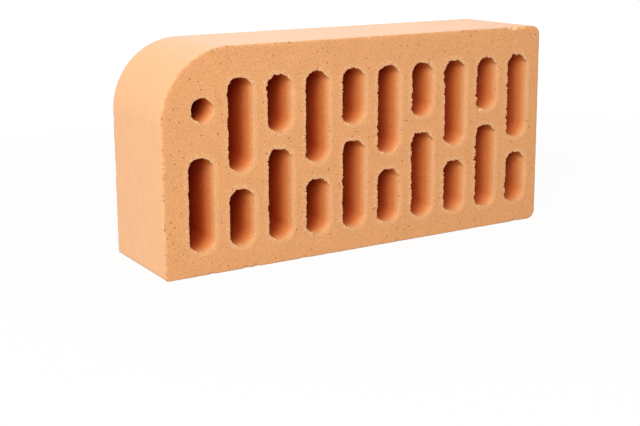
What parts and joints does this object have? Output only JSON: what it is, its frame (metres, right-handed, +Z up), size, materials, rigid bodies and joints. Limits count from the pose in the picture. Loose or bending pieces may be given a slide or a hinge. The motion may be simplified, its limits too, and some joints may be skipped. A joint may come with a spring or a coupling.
{
  "type": "hollow facing brick",
  "caption": "Hollow clay facing brick with staggered through slots, one round core and one corner rounded to a large radius, for rounded wall corners and openings.",
  "frame": {"origin": "middle of the underside, the long 250 x 65 mm face that the brick stands on", "axes": "+X along the length, away from the shaped corner; -Y out of the perforated bed that faces the front; +Z up"},
  "size_m": [0.25, 0.065, 0.12],
  "materials": {
    "fired_clay": "fired clay, smooth on the die faces and finely grained on the cut beds"
  },
  "bodies": {
    "root": {"brick": "fired_clay"}
  },
  "joints": []
}
